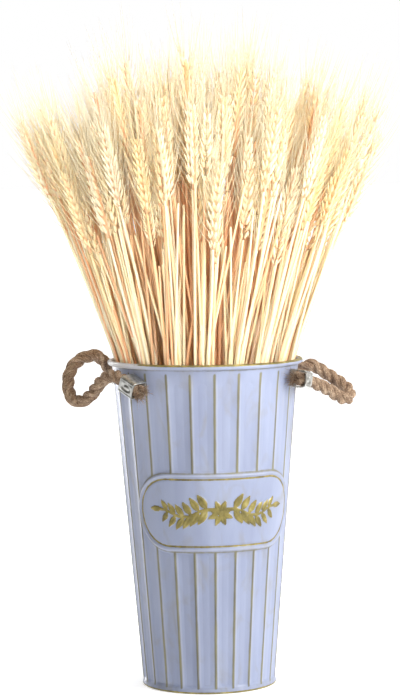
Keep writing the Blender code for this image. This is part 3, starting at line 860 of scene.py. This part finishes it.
def stem_line(straw, bow):
    """The straw's middle line: up the bucket, round the bend at its mouth and on to the ear."""
    butt, bend, top = straw["stations"]
    slope = (top - bend) / (top[2] - bend[2])
    neck = bend + slope * (straw["neck"] - bend[2])
    before = butt + (bend - butt) * ((0.275 - butt[2]) / (bend[2] - butt[2]))
    after = bend + slope * 0.025
    line = [butt + (before - butt) * share for share in (0.0, 0.35, 0.7, 0.9)]
    for share in (0.0, 0.25, 0.5, 0.75):
        line.append(before * (1 - share) ** 2 + bend * 2 * share * (1 - share) + after * share ** 2)
    for share in np.linspace(0, 1, 13):
        line.append(after + (neck - after) * share + bow * math.sin(math.pi * share))
    return np.array(line)


def add_tube(growth, line, radius, sides, tone, root):
    """A tube round a line, closed at both ends."""
    _, first, second = frames_along(line)
    last = (len(line) - 1) * sides
    faces = grid_faces(len(line), sides)
    faces += [tuple(reversed(range(sides))), tuple(range(last, last + sides))]
    growth.add(ring_points(line, radius, first, second, sides), faces, tone, root)


def add_stem(growth, line, tone, joint, shade_and_orange_tone, slim=1.0, sides=STEM_SIDES):
    """A round straw that tapers to the neck, with one swollen joint, closed at its cut end."""
    heights = line[:, 2]
    above = np.clip((heights - BEND_Z) / (heights[-1] - BEND_Z), 0, 1)
    radius = slim * np.where(heights < BEND_Z, mix(STEM_BUTT, STEM_MOUTH, heights / BEND_Z),
                             mix(STEM_MOUTH, STEM_NECK, above ** 0.8))
    if joint is not None:
        radius = radius * (1 + JOINT_SWELL * bell(heights - joint, JOINT_LENGTH))
    # Painted shade: below 0.345 m the stem turns orange, fully inside the bucket, on top of its shade and
    # orange tone.
    shade = np.repeat(smooth(0.0, 1.0, (0.345 - heights) / 0.14) * 0.40 + shade_and_orange_tone, sides)
    add_tube(growth, line, radius, sides, tone, np.clip(shade, 0, 1))


HUSK_SIDES = 5


def husk_shape(levels):
    """A pointed, keeled husk: unit length along z, half width 1 along x, keel towards +y."""
    points = [(0.0, 0.0, 0.0)]
    for level in levels:
        width = math.sin(math.pi * level ** 0.72) ** 0.8
        for corner in range(HUSK_SIDES):
            turn = math.pi / 2 + 2 * math.pi * corner / HUSK_SIDES
            x = math.cos(turn)
            y = math.sin(turn)
            y = y if y > 0 else y * 0.55
            points.append((x * width, y * width + 0.45 * math.sin(math.pi * level * 0.9), level))
    points.append((0.0, 0.25, 1.0))
    faces = []
    for corner in range(HUSK_SIDES):
        after = (corner + 1) % HUSK_SIDES
        faces.append((0, 1 + after, 1 + corner))
        for level in range(len(levels) - 1):
            low, high = 1 + level * HUSK_SIDES, 1 + (level + 1) * HUSK_SIDES
            faces.append((low + corner, low + after, high + after, high + corner))
        last = 1 + (len(levels) - 1) * HUSK_SIDES
        faces.append((last + corner, last + after, len(points) - 1))
    return np.array(points), faces


HUSK = husk_shape((0.05, 0.28, 0.58, 0.86))
GLUME = husk_shape((0.08, 0.40, 0.80))
CORE_GIRTH = np.array([0.0011, 0.0021, 0.0026, 0.0027, 0.0027, 0.0026, 0.0023, 0.0018, 0.0009])
SPIKELETS = 18
SLIM_SPIKELETS = 11
CORE_SIDES = 5
# Length, width and thickness
FLORET_SIZE = np.array([0.0122, 0.00205, 0.00145])
GLUME_SIZE = np.array([0.0088, 0.00160, 0.00125])
SLIM_STRETCH = np.array([1.15, 1.15, 1.0])
AWN_RADIUS = 0.00040
AWN_SPREAD = 0.0125
AWN_LOW = 0.030
AWN_HIGH = 0.052


def add_husk(growth, template, foot, direction, outward, size, tone, shade_and_orange_tone):
    """One husk with its keel turned outwards."""
    points, faces = template
    length, width, thick = size
    outward = unit(outward - direction * np.dot(outward, direction))
    aside = np.cross(outward, direction)
    places = (foot + points[:, 0:1] * width * aside + points[:, 1:2] * thick * outward
              + points[:, 2:3] * length * direction)
    # Painted shade: each husk is darker and more orange at its foot, where husks overlap, and lighter towards
    # its tip.
    root = np.clip(0.62 - points[:, 2] * 1.7 + shade_and_orange_tone, 0, 1) * 0.75
    growth.add(places, faces, tone + 0.10 * points[:, 2], root)
    return foot + direction * length + outward * thick * 0.25


def add_awn(growth, foot, direction, lean, length, tone, shade_and_orange_tone):
    """A three-sided bristle that starts outwards and curves up along the ear."""
    def path(share):
        return foot + direction * length * share + lean * (share ** 0.75)

    places = bristle(path, (0.0, 0.3, 0.62), AWN_RADIUS, 0.72, direction, (0.23, 0.41, 0.88))
    growth.add(places, BRISTLE_FACES, tone, shade_and_orange_tone)


def ear_frame(straw):
    """Directions along an ear, across it from rank to rank, and through it."""
    direction = unit(straw["stations"][2] - straw["stations"][1])
    across = np.array((math.cos(straw["face"]), math.sin(straw["face"]), 0.0))
    across = unit(across - direction * np.dot(across, direction))
    return direction, across, np.cross(direction, across)


def swell_at(share):
    """An ear's husks are smaller at its foot and towards its tip."""
    return min(1.0, 0.62 + 2.2 * share) * (1 - 0.34 * max(0.0, share - 0.5) / 0.5)


def add_ear(growth, straw, line, draw, tone, shade_and_orange_tone):
    """Spikelets in two ranks, each with two glumes and three florets, and an awn from most florets."""
    direction, across, through = ear_frame(straw)
    neck, length = line[-1], straw["length"]
    nod = swing(across, through, draw.uniform(0, 2 * math.pi)) * draw.uniform(0.0, 0.0045)
    shares = np.linspace(0, 1, len(CORE_GIRTH))
    core = np.array([neck + direction * length * share * 0.97 + nod * share ** 2 for share in shares])
    # Painted shade on the ear's core, among its husks.
    add_tube(growth, core, CORE_GIRTH, CORE_SIDES, tone, 0.75)
    for number in range(SPIKELETS):
        share = (number + 0.25) / SPIKELETS
        aside = across * (1 if number % 2 == 0 else -1)
        place = neck + direction * length * share * 0.93 + nod * share ** 2
        swell = swell_at(share)
        tilt = math.radians(mix(25, 16, share) + draw.uniform(-3, 3))
        up = swing(direction, aside, tilt)
        out = unit(aside * math.cos(tilt) - direction * math.sin(tilt))
        for side in (-1, 1):
            way = unit(swing(up, through, math.radians(15 + draw.uniform(-3, 3)) * side))
            face = unit(out + through * side * 0.9)
            foot = place + aside * 0.0010 + through * side * 0.0015 * swell
            add_husk(growth, GLUME, foot, way, face, GLUME_SIZE * swell,
                     tone + draw.uniform(-0.08, 0.10), shade_and_orange_tone)
        for side in (-1, 0, 1):
            way = unit(swing(up, through, math.radians(15 + draw.uniform(-3, 3)) * side))
            face = unit(out + through * side * 0.55)
            lift = 0.0026 if side == 0 else 0.0014
            foot = place + direction * lift + aside * (0.0016 if side == 0 else 0.0012)
            foot = foot + through * side * 0.0012 * swell
            size = FLORET_SIZE * (draw.uniform(0.92, 1.08) * swell)
            tip = add_husk(growth, HUSK, foot, way, face, size, tone + draw.uniform(-0.10, 0.12), shade_and_orange_tone)
            if side == 0 and number < SPIKELETS - 4:
                continue
            reach = mix(AWN_LOW, AWN_HIGH, share) * draw.uniform(0.74, 1.12)
            lean = aside * draw.uniform(0.35, 1.0) + through * side * draw.uniform(0.3, 1.0)
            sway = (across * draw.normal(0, 1) + through * draw.normal(0, 1)) * 0.0013
            lean = lean * AWN_SPREAD * mix(1.0, 0.8, share) + sway
            add_awn(growth, tip - way * 0.0008, direction, lean, reach,
                    tone + draw.uniform(0.0, 0.36), shade_and_orange_tone * 0.3)


def add_slim_ear(growth, straw, line, draw, tone, shade_and_orange_tone):
    """An ear of a late side straw: two ranks of single husks, each with its awn."""
    direction, across, through = ear_frame(straw)
    for number in range(SLIM_SPIKELETS):
        share = (number + 0.2) / SLIM_SPIKELETS
        place = line[-1] + direction * straw["length"] * share * 0.93
        for side in (-1, 1):
            rank = side if number % 2 else -side
            tilt = math.radians(mix(20, 12, share) + draw.uniform(-3, 3))
            way = unit(swing(direction, across * side + through * 0.5 * rank, tilt))
            face = unit(across * side + through * 0.6 * rank)
            size = FLORET_SIZE * SLIM_STRETCH * (draw.uniform(0.92, 1.08) * swell_at(share))
            tip = add_husk(growth, GLUME, place + across * side * 0.0008, way, face, size,
                           tone + draw.uniform(-0.10, 0.12), shade_and_orange_tone)
            lean = across * side * draw.uniform(0.2, 1.0) + through * rank * draw.uniform(0.1, 0.8)
            reach = mix(AWN_LOW, AWN_HIGH, share) * draw.uniform(0.74, 1.12)
            add_awn(growth, tip - way * 0.0008, direction, lean * AWN_SPREAD, reach,
                    tone + draw.uniform(0.0, 0.36), shade_and_orange_tone * 0.3)


def is_inner(straw):
    """Whether a straw stands well inside the sheaf at the bucket's mouth."""
    return math.hypot(*straw["stations"][1][:2]) < 0.80 * SPREAD_BEND


# At a late straw's three stations: its sway with an ear and without, and its farthest reach against
# that of the fan
EARED_SWAY = (0.0, 0.0016, 0.0070)
BARE_SWAY = (0.0, 0.0016, 0.0330)
LATE_LIMITS = (1.0, 1.09, 1.04)


def side_straws(straws, draw):
    """Slimmer late straws that stand between those of a clump: some with an ear and some without."""
    late = []
    for first, second in zip(straws, straws[1:] + straws[:1]):
        bare = [(draw.uniform(*span), False) for span in ((0.1, 0.3), (0.3, 0.5), (0.5, 0.7), (0.7, 0.9))]
        for share, eared in [(0.5, True)] + bare:
            stations = []
            for station, (one, other) in enumerate(zip(first["stations"], second["stations"])):
                centre = sum(straw["stations"][station] for straw in straws) / len(straws)
                place = one + (other - one) * share
                outward = (place - centre) * (1.1 if eared else draw.uniform(-0.9, 1.6))
                reach = (EARED_SWAY if eared else BARE_SWAY)[station]
                sway = np.array((draw.normal(0, 1), draw.normal(0, 1), 0.0)) * reach
                if station == 1 and math.hypot(*place[:2]) > 0.9 * SPREAD_BEND:
                    sway = sway * 0.5 + np.array((place[0], place[1], 0.0)) * 0.065
                spot = place + outward + sway
                limit = LATE_LIMITS[station] * spread_at(place[2]) / max(math.hypot(*spot[:2]), 1e-6)
                spot[:2] *= min(1.0, limit)
                stations.append(spot)
            late.append((eared, {"stations": stations, "neck": first["neck"] + draw.uniform(-0.022, 0.012),
                                 "length": draw.uniform(0.060, 0.078), "face": draw.uniform(0, 2 * math.pi)}))
    return late


def clump(number, straws, material):
    draw = np.random.default_rng(100 + number)
    growth = Growth()
    for straw in straws:
        tone = draw.uniform(0.36, 0.92)
        bow = np.array((draw.normal(0, 1), draw.normal(0, 1), 0.0)) * 0.0011
        line = stem_line(straw, bow)
        joint = draw.uniform(0.325, 0.40) if draw.random() < 0.4 else None
        # Painted shade: inner straws and their ears get an orange share; outer stems now and then an orange
        # tone at random.
        shade_and_orange_tone = draw.uniform(0.45, 0.95) if is_inner(straw) else draw.choice((0.0, 0.0, 0.0, 0.40))
        add_stem(growth, line, tone + draw.uniform(-0.15, 0.25), joint, shade_and_orange_tone)
        add_ear(growth, straw, line, draw, tone, draw.uniform(0.10, 0.40) if is_inner(straw) else 0.0)
    for eared, straw in side_straws(straws, draw):
        tone = draw.uniform(0.45, 0.95)
        line = stem_line(straw, np.zeros(3))
        # An orange tone at random, and painted shade on inner side straws; slim ears get a random orange
        # tone.
        shade_and_orange_tone = draw.choice((0.0, 0.0, draw.uniform(0.45, 1.0)))
        if is_inner(straw):
            shade_and_orange_tone = draw.uniform(0.45, 1.0)
        add_stem(growth, line[::2], tone, None, shade_and_orange_tone, SLIM_SHARE, SLIM_SIDES)
        if eared:
            add_slim_ear(growth, straw, line, draw, tone, draw.uniform(0.05, 0.35))
    name = f"wheat_{number:02d}"
    return make_piece("ears_" + name, np.concatenate(growth.points), growth.faces, material, name,
                      {"tone": np.concatenate(growth.tones), "root": np.concatenate(growth.roots)}, angle=180)


# Stage, light and camera

CAMERA_BACK = 2.4677
CAMERA_HEIGHT = 0.4906
CAMERA_DIP = 0.07
BUCKET_TURN = math.radians(5.5)
FOCAL_PIXELS = 2608.0
AXIS_PIXEL = 205.0
CAMERA_ROLL = math.radians(0.8)
FRAME_WIDTH, FRAME_HEIGHT = 400, 700
ROOM_LIGHT = 0.24
ROOM_TINT = (1.0, 0.90, 0.76)
FLOOR_Z = -0.0004
BEAM_CONE = math.radians(14.5)
KEY_POWER = 72
TOP_POWER = 24
SPOT_POWER = 225
GLOW_POWER = 75
STRIP_POWER = 26


def floor():
    """A pale floor that glows more with distance, up to the backdrop's white."""
    material, look = new_look("floor_look", 0.9)
    look.set("Base Color", (0.93, 0.93, 0.93))
    look.set("Emission Color", WHITE)
    far = look.maths("MULTIPLY_ADD", look.axis("Object", "Y"), 1.6, 0.55)
    look.set("Emission Strength", look.maths("MAXIMUM", look.maths("MINIMUM", far, 1.0), 0.06))
    mesh = bpy.data.meshes.new("floor")
    corners = [(x, y, FLOOR_Z) for x, y in ((-30, -6), (30, -6), (30, 60), (-30, 60))]
    mesh.from_pydata(corners, [], [(0, 1, 2, 3)])
    mesh.materials.append(material)
    item = bpy.data.objects.new("floor", mesh)
    bpy.context.collection.objects.link(item)


def lamp(name, kind, place, target, power, colour=WHITE, **settings):
    """A light aimed at a point."""
    data = bpy.data.lights.new(name, kind)
    data.energy = power
    data.color = colour
    for key, value in settings.items():
        setattr(data, key, value)
    item = bpy.data.objects.new(name, data)
    item.location = place
    item.rotation_euler = (Vector(target) - Vector(place)).to_track_quat("-Z", "Y").to_euler()
    bpy.context.collection.objects.link(item)
    return item


def beam(name, place, target, power, colour):
    """A narrow soft beam on the ears and straws."""
    item = lamp(name, "SPOT", place, target, power, colour,
                spot_size=BEAM_CONE, spot_blend=0.55, shadow_soft_size=0.25)
    item.visible_glossy = False


def studio_world():
    """White backdrop behind the part, and a dimmer room in front that is darkest on the left."""
    world = bpy.data.worlds.new("studio")
    world.use_nodes = True
    room = Graph(world.node_tree, "Background")
    backdrop = room.fade(room.axis("Generated", "Y"), 0.55, 0.90)
    to_right = room.maths("MULTIPLY_ADD", room.axis("Generated", "X"), 0.26, ROOM_LIGHT)
    room.set("Strength", room.maths("MAXIMUM", to_right, backdrop))
    room.set("Color", room.ramp(backdrop, (0.0, ROOM_TINT), (0.6, WHITE)))
    bpy.context.scene.world = world


def lights():
    """Key from the right, a soft top light, two beams and a tall narrow lamp behind on the left."""
    lamp("key", "AREA", (2.1, -1.7, 1.5), (0, 0, 0.35), KEY_POWER, (1.0, 0.985, 0.96), shape="DISK", size=1.2)
    lamp("top", "AREA", (0.35, -0.75, 2.35), (0, 0, 0.55), TOP_POWER, shape="DISK", size=1.5)
    beam("sheaf", (0.20, -2.35, 0.80), (0.0, 0.0, 0.505), SPOT_POWER, (1.0, 0.97, 0.92))
    beam("glow", (-1.35, -1.90, 0.95), (0.0, 0.0, 0.610), GLOW_POWER, (1.0, 0.80, 0.58))
    strip = lamp("strip", "AREA", (-0.98, 1.74, 0.30), (0.0, 0.0, 0.20), STRIP_POWER,
                 shape="RECTANGLE", size=0.10, size_y=1.4)
    strip.visible_camera = False
    studio_world()
    bpy.context.scene.view_settings.view_transform = "Standard"


def camera():
    data = bpy.data.cameras.new("camera")
    data.sensor_fit = "AUTO"
    data.sensor_width = 36.0
    data.lens = FOCAL_PIXELS / FRAME_HEIGHT * data.sensor_width
    data.clip_end = 100
    item = bpy.data.objects.new("camera", data)
    bpy.context.collection.objects.link(item)
    ahead = Vector((math.sin(BUCKET_TURN), math.cos(BUCKET_TURN), 0))
    right = Vector((math.cos(BUCKET_TURN), -math.sin(BUCKET_TURN), 0))
    item.location = -ahead * CAMERA_BACK + Vector((0, 0, CAMERA_HEIGHT))
    shift = -(AXIS_PIXEL - FRAME_WIDTH / 2) / FOCAL_PIXELS
    look = ahead * math.cos(CAMERA_DIP) - Vector((0, 0, math.sin(CAMERA_DIP))) + right * shift
    roll = Quaternion((0, 0, 1), -CAMERA_ROLL)
    item.rotation_euler = (look.to_track_quat("-Z", "Y") @ roll).to_euler()
    bpy.context.scene.camera = item


def main():
    camera()
    floor()
    lights()
    bucket_shell(paint_material())
    bucket_base(base_material())
    steel = strap_material()
    for name in STRAPS:
        strap(name, steel)
    fibre = jute_material()
    rope("left", LEFT_LOOP, fibre)
    rope("right", RIGHT_LOOP, fibre)
    golden = straw_material()
    for number, straws in enumerate(straw_plan(), start=1):
        clump(number, straws, golden)


main()
